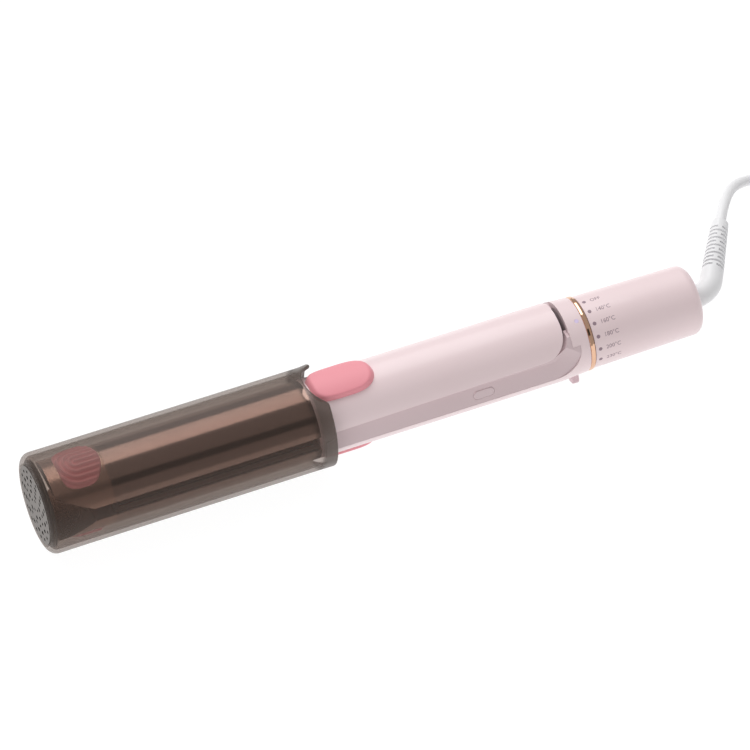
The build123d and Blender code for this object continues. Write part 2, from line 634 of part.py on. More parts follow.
# ==== ring, dial and the tube that carries it =====================================================
tube_inner = TUBE_R - TUBE_WALL
carrier = tube(TUBE_R, tube_inner, RIM + FIT, TUBE_END)
collar_flange = tube(TUBE_FLANGE_R, tube_inner, RIM + FIT, RIM + FIT + TUBE_FLANGE)
carrier += collar_flange & slab(RIM, COLLAR_END, WEB_Z, high)
save("rear_tube", carrier)

ring_mid = (COLLAR_END + DIAL_START) / 2
ring = turned(
    (COLLAR_END + RUN, TUBE_R + FIT),
    (COLLAR_END + RUN, RING_R - RING_EDGE),
    (COLLAR_END + RING_EASE_IN, RING_R - RING_EASE),
    (ring_mid, RING_R),
    (DIAL_START - FREE - RING_EASE, RING_R - RING_EASE),
    (DIAL_START - FREE, RING_R - RING_EDGE),
    (DIAL_START - FREE, TUBE_R + FIT),
)
save("trim_ring", ring)

dial = turned((DIAL_START, 0), (DIAL_START, DIAL_FRONT_R), (REAR, DIAL_REAR_R), (REAR, 0))
dial = fillet(dial.edges().group_by(Axis.X)[-1], DIAL_ROUND)
dial_hollow = turned(
    (DIAL_START - OVER, 0),
    (DIAL_START - OVER, DIAL_FRONT_R - DIAL_WALL),
    (REAR - DIAL_BACK - DIAL_ROUND, DIAL_REAR_R - DIAL_WALL),
    (REAR - DIAL_BACK, DIAL_FLOOR_R),
    (REAR - DIAL_BACK, 0),
)
dial -= dial_hollow
for start in (DIAL_START + DIAL_WEB_INSET, TUBE_END - DIAL_WEB_INSET):
    dial += tube(DIAL_FRONT_R - DIAL_WALL + FIT, TUBE_R + RUN, start, start + DIAL_WEB)
dial -= rod(SPINDLE_HEAD_R + FREE, REAR - DIAL_BACK - FIT, REAR + OVER)
save("temperature_dial", dial)
encoder_start = DIAL_START + ENCODER_LENGTH
encoder_r = DIAL_FRONT_R - DIAL_WALL - 2 * FREE
save("dial_encoder", tube(encoder_r, TUBE_R + FIT, encoder_start, encoder_start + ENCODER_LENGTH))

# ==== cord swivel =================================================================================
bush = tube(tube_inner - FIT, SPINDLE_R + RUN, TUBE_END - BUSH_LENGTH, TUBE_END)
save("swivel_bush", bush)
head_end = TUBE_END - BUSH_LENGTH - RUN
spindle = rod(SPINDLE_R, head_end - SPINDLE_HEAD, REAR)
spindle += rod(SPINDLE_HEAD_R, head_end - SPINDLE_HEAD, head_end)
spindle -= rod(SPINDLE_BORE, head_end - OVER, REAR + OVER)
save("swivel_spindle", spindle)
mains_end = head_end - SPINDLE_HEAD - FREE
mains = [rod(WIRE_R, board_end, mains_end, y, BOARD_TOP + WIRE_R) for y in MAINS_WIRE_Y]
save("mains_wires", *mains)

# ==== cord guard ==================================================================================
# White elbow on the spindle: a plain bend, then a slotted taper whose slots leave two bridges each.
bend = math.radians(GUARD_BEND)
guard_root = REAR + FREE
bend_start = REAR + GUARD_STRAIGHT
way = Vector(math.cos(bend), math.sin(bend), 0)
bend_end = Vector(bend_start + GUARD_BEND_R * math.sin(bend), GUARD_BEND_R * (1 - math.cos(bend)), 0)
taper_start = bend_end + way * GUARD_PLAIN
guard_end = taper_start + way * GUARD_LENGTH
skirt = rod(GUARD_R + GUARD_SKIRT, guard_root, guard_root + GUARD_SKIRT)
skirt += rod(GUARD_R, guard_root, bend_start)
elbow = revolve(
    Plane((bend_start, 0, 0), x_dir=(0, 1, 0), z_dir=(1, 0, 0)) * Circle(GUARD_R),
    Axis((bend_start, GUARD_BEND_R, 0), (0, 0, 1)),
    GUARD_BEND,
)
onward = (Align.CENTER, Align.CENTER, Align.MIN)
elbow += Plane(bend_end, z_dir=way) * Cylinder(GUARD_R, GUARD_PLAIN, align=onward)
taper_base = Plane(taper_start, x_dir=(0, 0, 1), z_dir=way)
taper = taper_base * Cone(GUARD_R, GUARD_TIP_R, GUARD_LENGTH, align=onward)
for row in range(GUARD_SLOTS):
    ring_slot = Cylinder(GUARD_R + OVER, GUARD_SLOT) - Cylinder(GUARD_CORE_R, GUARD_SLOT)
    ring_slot -= Rot(0, 0, GUARD_TURN + 90 * (row % 2)) * Box(4 * GUARD_R, 2 * GUARD_BRIDGE, GUARD_SLOT)
    taper -= taper_base * Pos(0, 0, GUARD_MARGIN + GUARD_PITCH * row) * ring_slot
save("cord_guard", rod(SPINDLE_R, REAR, guard_root) + skirt + elbow + taper)

# ==== cord, coil and plug =========================================================================
surface = Pos(REAR / 2, 0, 0)


def lead(name, points, start_way):
    """One uncoiled stretch of the cord: straight runs joined by tangent arcs."""
    corners = [Vector(*p) for p in points]
    runs = [b - a for a, b in zip(corners, corners[1:])]
    radii = []
    for before, after in zip(runs, runs[1:]):
        half_turn = math.radians(before.get_angle(after)) / 2
        radii.append(0.45 * min(before.length, after.length) / math.tan(half_turn))
    path = FilletPolyline(*corners, radius=radii)
    section = Plane(corners[0], z_dir=start_way) * Circle(CORD_D / 2)
    solid = sweep(section, path=path)
    share = solid.volume / (math.pi * CORD_D**2 / 4 * path.length)
    print(name, "radii", [round(r, 1) for r in radii], "length", round(path.length, 1), end=" ")
    print("volume share", round(share, 4))
    save(name, solid, place=surface)
    return path.length


exit_point = (guard_end.X - REAR, guard_end.Y, SLEEVE_R)
run_length = lead("cord_run", [exit_point] + CORD_ROUTE, Vector(*CORD_ROUTE[0]) - Vector(*exit_point))
tail_length = lead("cord_tail", TAIL_ROUTE, Vector(*TAIL_ROUTE[1]) - Vector(*TAIL_ROUTE[0]))

coil_half = COIL_ROWS * CORD_D / 2
coil_height = COIL_ROWS * CORD_D + TIE_THICK
mid_r = COIL_MID_D / 2
annulus = Circle(mid_r + coil_half) - Circle(mid_r - coil_half)
coil = extrude(annulus, coil_height)
coil = fillet(coil.edges(), CORD_D / 4)
tie_outer = Box(2 * (coil_half + TIE_THICK), TIE_WIDTH, coil_height + TIE_THICK, align=onward)
pinched = coil_height - TIE_THICK - 2 * FREE
tie_inner = Box(2 * (coil_half - FREE), TIE_WIDTH + OVER, pinched, align=onward)
at_tie = Rot(0, 0, TIE_TURN) * Pos(mid_r, 0, 0)
at_coil = Pos(*COIL_CENTRE, 0)
tie = at_tie * (tie_outer - Pos(0, 0, TIE_THICK + FREE) * tie_inner)
save("cord_coil", at_coil * (coil - tie), place=surface)
save("coil_tie", at_coil * tie, place=surface)

# flat two-pin plug lying beside the coil
tail_end = Vector(*TAIL_ROUTE[-1])


def plug_plane(forward):
    """A plane across the plug, this far from the end of the cord."""
    return Plane(tail_end - Vector(0, forward, 0), x_dir=(1, 0, 0), z_dir=(0, -1, 0))


neck_height = PLUG_SECTIONS[0][2]
relief = plug_plane(0) * Cone(CORD_D / 2 + FREE, neck_height / 2, PLUG_RELIEF, align=onward)
save("plug_relief", relief, place=surface)
outlines = [
    plug_plane(PLUG_RELIEF + share * PLUG_LENGTH) * RectangleRounded(wide, tall, PLUG_EDGE_R)
    for share, wide, tall in PLUG_SECTIONS
]
save("plug_body", loft(outlines), place=surface)
pins = []
for x in (-PLUG_PIN_SPACING / 2, PLUG_PIN_SPACING / 2):
    pin = Pos(x, 0, 0) * Cylinder(PLUG_PIN_R, PLUG_PIN_LENGTH, align=onward)
    pin = plug_plane(PLUG_RELIEF + PLUG_LENGTH) * pin
    pins.append(fillet(pin.edges().group_by(Axis.Y)[0], PLUG_PIN_R / 2))
save("plug_pins", *pins, place=surface)
turns = (CORD_LENGTH - run_length - tail_length) / (math.pi * COIL_MID_D)
print("cord length", CORD_LENGTH, "coil turns", round(turns, 2))
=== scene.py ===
import math

import bpy
import numpy as np
from mathutils import Matrix, Vector


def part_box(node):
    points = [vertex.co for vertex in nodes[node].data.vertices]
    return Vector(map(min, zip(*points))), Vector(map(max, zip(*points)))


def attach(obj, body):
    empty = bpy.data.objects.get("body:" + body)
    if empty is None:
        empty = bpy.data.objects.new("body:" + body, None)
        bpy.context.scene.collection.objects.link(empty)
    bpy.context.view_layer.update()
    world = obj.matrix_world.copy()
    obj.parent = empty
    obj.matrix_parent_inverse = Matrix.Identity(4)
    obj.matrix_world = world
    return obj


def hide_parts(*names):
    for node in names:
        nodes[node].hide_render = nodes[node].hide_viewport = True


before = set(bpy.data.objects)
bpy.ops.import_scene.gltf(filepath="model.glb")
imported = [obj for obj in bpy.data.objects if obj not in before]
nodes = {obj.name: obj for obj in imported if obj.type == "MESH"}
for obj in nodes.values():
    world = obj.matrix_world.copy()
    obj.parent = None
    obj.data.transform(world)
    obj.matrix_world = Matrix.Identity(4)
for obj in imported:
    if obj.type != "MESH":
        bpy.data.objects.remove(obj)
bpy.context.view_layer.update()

# ---- Viewpoint ------------------------------------------------------------------------------------
# A long lens looks down on the wand from in front and from the tip's side, with a slight tilt, so
# that the wand runs from the lower left to the upper right.
azimuth, elevation, roll = (math.radians(a) for a in (-20.782, 44.016, -2.694))
back = Vector((
    math.sin(azimuth) * math.cos(elevation),
    -math.cos(azimuth) * math.cos(elevation),
    math.sin(elevation),
))
level = Vector((math.cos(azimuth), math.sin(azimuth), 0.0))
upright = back.cross(level)
across = math.cos(roll) * level + math.sin(roll) * upright
upward = math.cos(roll) * upright - math.sin(roll) * level
axis_height = (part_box("trim_ring")[0].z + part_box("trim_ring")[1].z) / 2
target = Vector((-0.00065, 0.0, axis_height))
eye = target + 2.50709 * back + 0.003543 * across + 0.010716 * upward
lens = bpy.data.cameras.new("view")
lens.lens = 288.0
lens.sensor_width = 36.0
lens.clip_end = 20.0
view = bpy.data.objects.new("view", lens)
view.matrix_world = Matrix.Translation(eye) @ Matrix((across, upward, back)).transposed().to_4x4()
bpy.context.scene.collection.objects.link(view)
bpy.context.scene.camera = view

# ---- Studio ---------------------------------------------------------------------------------------
# A pale table under a broad overhead softbox, with a pale room all round it and a dark screen by the
# camera, which shows only as a dark band in polished surfaces.
bpy.context.scene.view_settings.view_transform = "Standard"
room = bpy.data.worlds.new("room")
room.use_nodes = True
room.node_tree.nodes["Background"].inputs["Color"].default_value = (0.95, 0.94, 0.94, 1.0)
room.node_tree.nodes["Background"].inputs["Strength"].default_value = 0.46
bpy.context.scene.world = room


def flat_panel(name, wide, deep, middle, facing):
    """A rectangular sheet whose front faces a direction."""
    half_wide, half_deep = wide / 2, deep / 2
    corners = [(-half_wide, -half_deep, 0), (half_wide, -half_deep, 0),
               (half_wide, half_deep, 0), (-half_wide, half_deep, 0)]
    turn = Vector(facing).to_track_quat("Z", "Y").to_matrix()
    sheet = bpy.data.meshes.new(name)
    sheet.from_pydata([turn @ Vector(c) + Vector(middle) for c in corners], [], [(0, 1, 2, 3)])
    made = bpy.data.objects.new(name, sheet)
    bpy.context.scene.collection.objects.link(made)
    return made


table_top = flat_panel("table_top", 12.0, 12.0, (0, 0, -0.0002), (0, 0, 1))
table_paint = bpy.data.materials.new("table_paint")
table_paint.use_nodes = True
paint = table_paint.node_tree.nodes["Principled BSDF"]
paint.inputs["Base Color"].default_value = (0.12, 0.12, 0.12, 1.0)
paint.inputs["Roughness"].default_value = 0.9
paint.inputs["Specular IOR Level"].default_value = 0.1
paint.inputs["Emission Color"].default_value = (1.0, 1.0, 1.0, 1.0)
paint.inputs["Emission Strength"].default_value = 0.96
table_top.data.materials.append(table_paint)

screen = flat_panel("dark_screen", 3.4, 0.62, target + 1.7 * back, -back)
screen_cloth = bpy.data.materials.new("screen_cloth")
screen_cloth.use_nodes = True
screen_cloth.node_tree.nodes["Principled BSDF"].inputs["Base Color"].default_value = (0.01, 0.01, 0.01, 1)
screen.data.materials.append(screen_cloth)
screen.visible_camera = False
screen.visible_shadow = False
screen.visible_diffuse = False

for name, place, size, power in (
    ("overhead_softbox", (-0.1, 0.85, 1.4), 1.5, 20.0),
    ("front_softbox", (-1.5, -0.9, 0.7), 1.0, 3.0),
):
    lamp = bpy.data.lights.new(name, "AREA")
    lamp.shape = "SQUARE"
    lamp.size = size
    lamp.energy = power
    light = bpy.data.objects.new(name, lamp)
    light.location = place
    light.rotation_euler = (target - Vector(place)).to_track_quat("-Z", "Y").to_euler()
    bpy.context.scene.collection.objects.link(light)

# ---- Mains cord -----------------------------------------------------------------------------------
# Round white two-core lead, 4.8 mm thick and 1.8 m long, sheathed in soft PVC. It leaves the guard
# level, comes down to the table, and what isn't in use is wound into a coil that a strap holds.
rear_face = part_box("temperature_dial")[1].x
cord_thick = 0.0048


class Flow:
    """A socket in a finish: arithmetic on it adds Math nodes."""

    def __init__(self, finish, socket):
        self.finish, self.socket = finish, socket

    def math(self, operation, *values):
        return self.finish.math(operation, *values)

    def __add__(self, other):
        return self.math("ADD", self, other)

    def __mul__(self, other):
        return self.math("MULTIPLY", self, other)

    __radd__ = __add__
    __rmul__ = __mul__


class Finish:
    """A material with one Principled shader and the nodes that vary it over the surface."""

    def __init__(self, name, **constants):
        self.material = bpy.data.materials.new(name)
        self.material.use_nodes = True
        self.tree = self.material.node_tree
        self.shader = self.tree.nodes["Principled BSDF"]
        for label, value in constants.items():
            self.shader.inputs[label.replace("_", " ")].default_value = value

    def node(self, kind, settings, values, output=0):
        made = self.tree.nodes.new(kind)
        for label, value in settings.items():
            setattr(made, label, value)
        for key, value in values.items() if isinstance(values, dict) else enumerate(values):
            if isinstance(value, Flow):
                self.tree.links.new(value.socket, made.inputs[key])
            else:
                made.inputs[key].default_value = value
        return Flow(self, made.outputs[output])

    def math(self, operation, *values):
        return self.node("ShaderNodeMath", {"operation": operation}, values)

    def place(self):
        return self.node("ShaderNodeTexCoord", {}, {}, 3)

    def noise(self, scale, detail=2.0, vector=None):
        vector = vector or self.place()
        return self.node("ShaderNodeTexNoise", {}, {"Vector": vector, "Scale": scale, "Detail": detail})

    def mix(self, share, first, second):
        return self.node("ShaderNodeMix", {"data_type": "RGBA"}, {0: share, 6: first, 7: second}, 2)

    def bump(self, height, depth, strength=1.0):
        return self.node("ShaderNodeBump", {}, {"Strength": strength, "Distance": depth, "Height": height})

    def feed(self, **flows):
        for label, flow in flows.items():
            self.tree.links.new(flow.socket, self.shader.inputs[label.replace("_", " ")])
        return self


def tone(red, green, blue):
    """A colour from its display values, 0 to 255."""
    return tuple(((c / 255 + 0.055) / 1.055) ** 2.4 for c in (red, green, blue)) + (1.0,)


def moulded(name, pale, deep, roughness, grain=0.00001, **constants):
    """Moulded plastic or rubber: cloudy colour, a fine grain and uneven gloss."""
    finish = Finish(name, **constants)
    clouds = finish.noise(28.0)
    grains = finish.noise(2600.0, 3.0)
    return finish.feed(
        Base_Color=finish.mix(clouds, pale, deep),
        Roughness=clouds * 0.10 + grains * 0.06 + (roughness - 0.08),
        Normal=finish.bump(grains, grain, 0.6),
    )


cord_sheath = moulded("cord_sheath", tone(246, 246, 247), tone(236, 236, 238), 0.42)
exit_point = (rear_face + 0.030427, 0.036678, 0.0218)
cord_points = [
    exit_point,
    (rear_face + 0.03918, 0.05125, 0.0218),
    (rear_face + 0.0510, 0.0640, 0.0158),
    (rear_face + 0.0660, 0.0713, 0.0064),
    (rear_face + 0.0810, 0.0741, 0.0024),
    (rear_face + 0.0960, 0.0748, 0.0024),
]
coil_x, coil_y = rear_face + 0.0978, 0.0412
columns = (0.0336, 0.0288, 0.0240)
rows = (0.0031, 0.0079, 0.0127)
# Places in the coil's section, in winding order: down the outside last, so that the end comes free.
seats = [(0, 0), (1, 0), (2, 0), (2, 1), (2, 2), (1, 2), (1, 1), (0, 1), (0, 2)]
steps = 16
turns = 9.25
hold_out = 1 / (0.75 + 0.25 * math.cos(2 * math.pi / steps))
shift_share = 0.16
# The last turn steps outside the coil, then drops to the table; these are counted in turns.
step_out, out_from, out_over = 0.0049, 8.9, 0.18
drop_from, drop_over = 9.0, 0.24


def ease(share):
    share = min(1.0, max(0.0, share))
    return share * share * (3 - 2 * share)


for step in range(1, int(turns * steps)):
    turn = step / steps
    seat = min(int(turn), len(seats) - 1)
    after = min(seat + 1, len(seats) - 1)
    share = ease((turn - seat - 1 + shift_share) / shift_share)
    column = columns[seats[seat][0]] * (1 - share) + columns[seats[after][0]] * share
    height = rows[seats[seat][1]] * (1 - share) + rows[seats[after][1]] * share
    column += step_out * ease((turn - out_from) / out_over)
    height -= (rows[2] - cord_thick / 2) * ease((turn - drop_from) / drop_over)
    angle = math.pi / 2 - 2 * math.pi * turn
    cord_points.append((
        coil_x + column * hold_out * math.cos(angle),
        coil_y + column * hold_out * math.sin(angle),
        max(height, cord_thick / 2),
    ))
cord_points += [
    (rear_face + 0.1365, 0.0375, 0.0024),
    (rear_face + 0.1347, 0.0250, 0.0028),
    (rear_face + 0.1290, 0.0135, 0.0062),
    (rear_face + 0.1285, 0.0010, 0.0065),
]
cord_curve = bpy.data.curves.new("mains_cord", "CURVE")
cord_curve.dimensions = "3D"
cord_curve.bevel_depth = cord_thick / 2
cord_curve.bevel_resolution = 5
cord_curve.resolution_u = 4
cord_curve.use_fill_caps = True
line = cord_curve.splines.new("NURBS")
line.points.add(len(cord_points) - 1)
for point, at in zip(line.points, cord_points):
    point.co = (*at, 1.0)
line.order_u = 3
line.use_endpoint_u = True
cord_curve.materials.append(cord_sheath.material)
mains_cord = bpy.data.objects.new("mains_cord", cord_curve)
bpy.context.scene.collection.objects.link(mains_cord)
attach(mains_cord, "cord")
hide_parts("cord_run", "cord_coil", "cord_tail")


def dress(finish, *names):
    """Give a finish to parts of the frame."""
    for name in names:
        slots = nodes[name].data.materials
        slots.clear()
        slots.append(finish.material)


# ---- Cord guard, plug and strap -------------------------------------------------------------------
# The guard is a white rubber elbow moulded on the cord, with staggered slots that let it flex. The
# plug is moulded on the other end, and a soft strap closes on itself round the coil.
guard_rubber = moulded("guard_rubber", tone(244, 244, 245), tone(234, 234, 236), 0.36)
dress(guard_rubber, "cord_guard", "plug_relief")
plug_shell = moulded("plug_shell", tone(245, 245, 246), tone(238, 238, 240), 0.3)
dress(plug_shell, "plug_body")
strap = Finish("strap", Roughness=0.85)
ribs = strap.node(
    "ShaderNodeTexWave",
    {"wave_type": "BANDS", "bands_direction": "Z"},
    {"Vector": strap.place(), "Scale": 260.0},
)
strap.feed(
    Base_Color=strap.mix(ribs, tone(196, 192, 190), tone(222, 219, 217)),
    Normal=strap.bump(ribs + strap.noise(2200.0), 0.0001, 0.7),
)
dress(strap, "coil_tie")
nickel = Finish("nickel", Metallic=1.0)
nickel.feed(
    Base_Color=nickel.mix(nickel.noise(60.0), tone(205, 205, 208), tone(188, 189, 193)),
    Roughness=nickel.noise(900.0, 3.0) * 0.18 + 0.12,
)
dress(nickel, "plug_pins")


# ---- Hot ends -------------------------------------------------------------------------------------
# Each arm ends in a half barrel of anodised aluminium, bronze in colour and polished, with a tip plated
# to match and a plate frame of heat-proof plastic. The ceramic-coated plates float on rubber cushions.
bronze = Finish("bronze", Metallic=1.0)
streaks = bronze.node("ShaderNodeMapping", {}, {"Vector": bronze.place(), "Scale": (6.0, 900.0, 900.0)})
brushing = bronze.noise(1.0, 4.0, streaks)
bronze.feed(
    Base_Color=bronze.mix(bronze.noise(30.0), tone(172, 152, 145), tone(161, 141, 134)),
    Roughness=brushing * 0.08 + 0.12,
    Normal=bronze.bump(brushing, 0.0000015),
)
dress(bronze, "upper_barrel", "lower_barrel")
tip_bronze = moulded("tip_bronze", tone(192, 164, 152), tone(180, 152, 141), 0.26, 0.000001, Metallic=0.75)
dress(tip_bronze, "upper_tip", "lower_tip")
heat_plastic = moulded("heat_plastic", tone(176, 150, 138), tone(164, 139, 128), 0.4, Metallic=0.3)
dress(heat_plastic, "upper_plate_frame", "lower_plate_frame")
plate_ceramic = Finish("plate_ceramic", Metallic=0.7, Coat_Weight=0.5, Coat_Roughness=0.08)
plate_ceramic.feed(
    Base_Color=plate_ceramic.mix(plate_ceramic.noise(3500.0, 2.0), tone(120, 92, 82), tone(146, 114, 101)),
    Roughness=plate_ceramic.noise(1800.0, 2.0) * 0.12 + 0.2,
)
dress(plate_ceramic, "upper_plate", "lower_plate")
heater_metal = moulded("heater_metal", tone(188, 188, 190), tone(168, 169, 172), 0.4, Metallic=0.9)
dress(heater_metal, "upper_heater", "lower_heater")
cushion_rubber = moulded("cushion_rubber", tone(206, 92, 70), tone(188, 80, 60), 0.6)
dress(cushion_rubber, "upper_plate_cushions", "lower_plate_cushions")


# ---- Finger pads ----------------------------------------------------------------------------------
# Soft pink silicone pads, bonded to the body where the fingers hold the hot end: smooth pillows on the
# handle, and smaller ones on the tips with arched ridges that open towards the handle.
barrel_r = (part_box("upper_barrel")[1].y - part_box("upper_barrel")[0].y) / 2
pad_silicone, tip_silicone = (
    moulded(name, pale, deep, 0.5, 0.00002, Sheen_Weight=0.25)
    for name, pale, deep in (
        ("pad_silicone", tone(244, 156, 167), tone(237, 146, 157)),
        ("tip_silicone", tone(255, 184, 192), tone(252, 174, 183)),
    )
)
pad_angles, pad_rings = 144, 44
pad_sink = 0.0004
ridge_height, ridge_fade = 0.0011, 0.0012


def link(name, points, faces, finish, smooth=True):
    """A new piece from its points and faces."""
    mesh = bpy.data.meshes.new(name)
    mesh.from_pydata(points, [], faces)
    mesh.materials.append(finish.material)
    mesh.polygons.foreach_set("use_smooth", [smooth] * len(mesh.polygons))
    mesh.update()
    made = bpy.data.objects.new(name, mesh)
    bpy.context.scene.collection.objects.link(made)
    return made


def ring_faces(rings, count):
    """Faces between rings of points, each ring one after the other."""
    return [
        (r * count + i, r * count + (i + 1) % count,
         (r + 1) * count + (i + 1) % count, (r + 1) * count + i)
        for r in range(rings - 1)
        for i in range(count)
    ]


def finger_pad(name, body, node, side, rise, square, slope, ridge, finish):
    """A pad wrapped on the round body: its outline is a soft rectangle, squarer at the front."""
    low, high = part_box(node)
    middle_x, half_x = (low.x + high.x) / 2, (high.x - low.x) / 2
    half_arc = math.asin((high.y - low.y) / 2 / (barrel_r + rise)) * barrel_r
    points = []
    for ring in range(pad_rings):
        share = 1 - ring / pad_rings
        for i in range(pad_angles):
            angle = 2 * math.pi * i / pad_angles
            c, s = math.cos(angle), math.sin(angle)
            power = square + (1.7 if c < 0 else -0.8) * abs(c)
            reach = (abs(c) ** power + abs(s) ** power) ** (-1 / power)
            along, arc = share * reach * c * half_x, share * reach * s * half_arc
            edge = (1 - share) * min(half_x, half_arc)
            height = rise * (1 - (1 - min(1.0, edge / slope)) ** 2.4) - 0.00003
            if ridge:
                spine = along + half_x * 0.12
                away = math.hypot(min(0.0, spine), arc)
                wave = 0.5 + 0.5 * math.cos(2 * math.pi * away / ridge)
                height += (wave - 0.6) * ridge_height * ease(edge / ridge_fade)
            radius, turn = barrel_r + height, arc / barrel_r
            z = axis_height + side * radius * math.cos(turn)
            points.append((middle_x + along, radius * math.sin(turn), z))
    last = len(points)
    top = rise + (0.4 * ridge_height if ridge else 0.0)
    points.append((middle_x, 0.0, axis_height + side * (barrel_r + top)))
    faces = ring_faces(pad_rings, pad_angles)
    start = last - pad_angles
    faces += [(start + i, start + (i + 1) % pad_angles, last) for i in range(pad_angles)]
    under = len(points)
    for i in range(pad_angles):
        x, y, z = points[i]
        inward = Vector((0, y, z - axis_height)).normalized() * pad_sink
        points.append((x, y - inward.y, z - inward.z))
    faces += [(i, under + i, under + (i + 1) % pad_angles, (i + 1) % pad_angles) for i in range(pad_angles)]
    points.append((middle_x, 0.0, axis_height + side * (barrel_r - pad_sink)))
    bottom = len(points) - 1
    faces += [(under + i, bottom, under + (i + 1) % pad_angles) for i in range(pad_angles)]
    if side < 0:
        faces = [tuple(reversed(f)) for f in faces]
    piece = link(name, points, faces, finish)
    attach(piece, body)
    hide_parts(node)
    return piece


for side, arm in ((1, "upper"), (-1, "lower")):
    for place, node, rise, square, slope, ridge, finish in (
        ("_thumb_rest", "_thumb_pad", 0.0030, 3.2, 0.0017, 0.0, pad_silicone),
        ("_tip_rest", "_tip_pad", 0.0016, 2.6, 0.0012, 0.0024, tip_silicone),
    ):
        finger_pad(arm + place, arm + "_arm", arm + node, side, rise, square, slope, ridge, finish)

# ---- Handle shells and frame ----------------------------------------------------------------------
# Two half shells of pale pink satin plastic, screwed over an inner frame of the same colour, whose side walls
# show in the gap between them; the frame is painted a darker pink, a painted shade for the shadow in that
# gap. The lower shell carries on round the wand as a collar.
pink_shell = moulded("pink_shell", tone(243, 223, 225), tone(240, 218, 220), 0.34, 0.000006, Coat_Weight=0.15)
dress(pink_shell, "upper_shell", "lower_shell")
# Painted shade: the frame is given a darker pink than the shells, for the shade in the gap between them.
frame_plastic = moulded("frame_plastic", tone(222, 201, 204), tone(214, 192, 195), 0.45, 0.000006)
dress(frame_plastic, "upper_frame", "lower_frame")

# ---- Controls -------------------------------------------------------------------------------------
# An oblong button flush with the frame's wall, a lock tab that slides under the collar, and a small
# lilac status light set in the collar.
button_plastic = moulded("button_plastic", tone(224, 204, 207), tone(217, 196, 199), 0.4, 0.000006)
dress(button_plastic, "mode_button")
lock_plastic = moulded("lock_plastic", tone(228, 200, 206), tone(220, 192, 199), 0.4, 0.000006)
dress(lock_plastic, "lock_slider")
status_light = Finish("status_light", Roughness=0.25, Emission_Strength=0.05)
status_light.feed(
    Base_Color=status_light.mix(status_light.noise(900.0), tone(220, 204, 236), tone(228, 213, 240)),
    Emission_Color=status_light.mix(status_light.noise(900.0), tone(200, 178, 246), tone(214, 196, 250)),
)
dress(status_light, "led_lens")

# ---- Trim ring ------------------------------------------------------------------------------------
# A turned metal ring, plated rose gold and polished, held between the collar and the dial.
rose_gold = Finish("rose_gold", Metallic=1.0)
rose_gold.feed(
    Base_Color=rose_gold.mix(rose_gold.noise(120.0), tone(234, 192, 164), tone(226, 182, 152)),
    Roughness=rose_gold.noise(1500.0, 2.0) * 0.06 + 0.07,
)
dress(rose_gold, "trim_ring")

# ---- Temperature dial -----------------------------------------------------------------------------
# The rear of the wand turns as a dial. Small grey-mauve dots and figures are printed round its front edge.
dress(pink_shell, "temperature_dial")
print_ink = moulded("print_ink", tone(158, 136, 146), tone(150, 128, 138), 0.55)
dial_front, dial_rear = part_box("temperature_dial")[0].x, rear_face
front_r = (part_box("temperature_dial")[1].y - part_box("temperature_dial")[0].y) / 2
rear_r = front_r - 0.00065
mark_step, first_mark = math.radians(21.0), math.radians(5.6)
dot_gap, figure_gap, figure_height, dot_r = 0.0021, 0.0027, 0.0019, 0.00082
ink_thick, ink_sunk = 0.00006, 0.00004
dot_sides = 24


def wrapped(flat, x, angle):
    """Wrap a flat print on the dial: its own x runs along the wand, its y round it, towards the top."""
    for vertex in flat.vertices:
        along, round_it, lift = vertex.co
        station = x + along
        share = (station - dial_front) / (dial_rear - dial_front)
        radius = front_r + (rear_r - front_r) * share + lift - ink_sunk
        turn = angle + round_it / front_r
        vertex.co = (station, radius * math.sin(turn), axis_height + radius * math.cos(turn))


prints = []
for count, figures in enumerate(("OFF", "140°C", "160°C", "180°C", "200°C", "230°C")):
    angle = first_mark - count * mark_step
    dot_points = [
        (dot_r * math.cos(a), dot_r * math.sin(a), lift)
        for lift in (0.0, ink_thick)
        for a in (2 * math.pi * i / dot_sides for i in range(dot_sides))
    ]
    dot_faces = ring_faces(2, dot_sides)
    dot_faces += [tuple(range(dot_sides, 2 * dot_sides)), tuple(reversed(range(dot_sides)))]
    dot = bpy.data.meshes.new("dot")
    dot.from_pydata(dot_points, [], dot_faces)
    wrapped(dot, dial_front + dot_gap, angle)
    prints.append(dot)
    text = bpy.data.curves.new("figures", "FONT")
    text.body = figures
    text.size = figure_height * 1.38
    text.extrude = ink_thick / 2
    text.resolution_u = 3
    text.align_y = "CENTER"
    writing = bpy.data.objects.new("figures", text)
    bpy.context.scene.collection.objects.link(writing)
    bpy.context.view_layer.update()
    flat = bpy.data.meshes.new_from_object(writing.evaluated_get(bpy.context.evaluated_depsgraph_get()))
    bpy.data.objects.remove(writing)
    flat.transform(Matrix.Translation((0, 0, ink_thick / 2)))
    wrapped(flat, dial_front + dot_gap + figure_gap, angle)
    prints.append(flat)
points, faces = [], []
for print_mesh in prints:
    first = len(points)
    points += [tuple(v.co) for v in print_mesh.vertices]
    faces += [tuple(first + i for i in p.vertices) for p in print_mesh.polygons]
    bpy.data.meshes.remove(print_mesh)
dial_print = link("dial_print", points, faces, print_ink, False)
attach(dial_print, "dial")

# ---- Works inside ---------------------------------------------------------------------------------
# Steel pin, spring and screws, brass bush, the green board with its switch and encoder, and the wires.
steel = Finish("steel", Metallic=1.0)
steel.feed(
    Base_Color=steel.mix(steel.noise(400.0), tone(200, 202, 206), tone(176, 179, 184)),
    Roughness=steel.noise(1500.0, 3.0) * 0.2 + 0.2,
)
dress(steel, "hinge_pin", "arm_spring", "upper_screws", "lower_screws", "swivel_spindle")
brass = Finish("brass", Metallic=1.0)
brass.feed(
    Base_Color=brass.mix(brass.noise(300.0), tone(214, 178, 104), tone(196, 160, 90)),
    Roughness=brass.noise(1200.0, 3.0) * 0.15 + 0.25,
)
dress(brass, "swivel_bush")
board_lacquer = moulded("board_lacquer", tone(46, 104, 70), tone(38, 90, 60), 0.3)
dress(board_lacquer, "circuit_board")
black_plastic = moulded("black_plastic", tone(44, 43, 45), tone(34, 33, 36), 0.45)
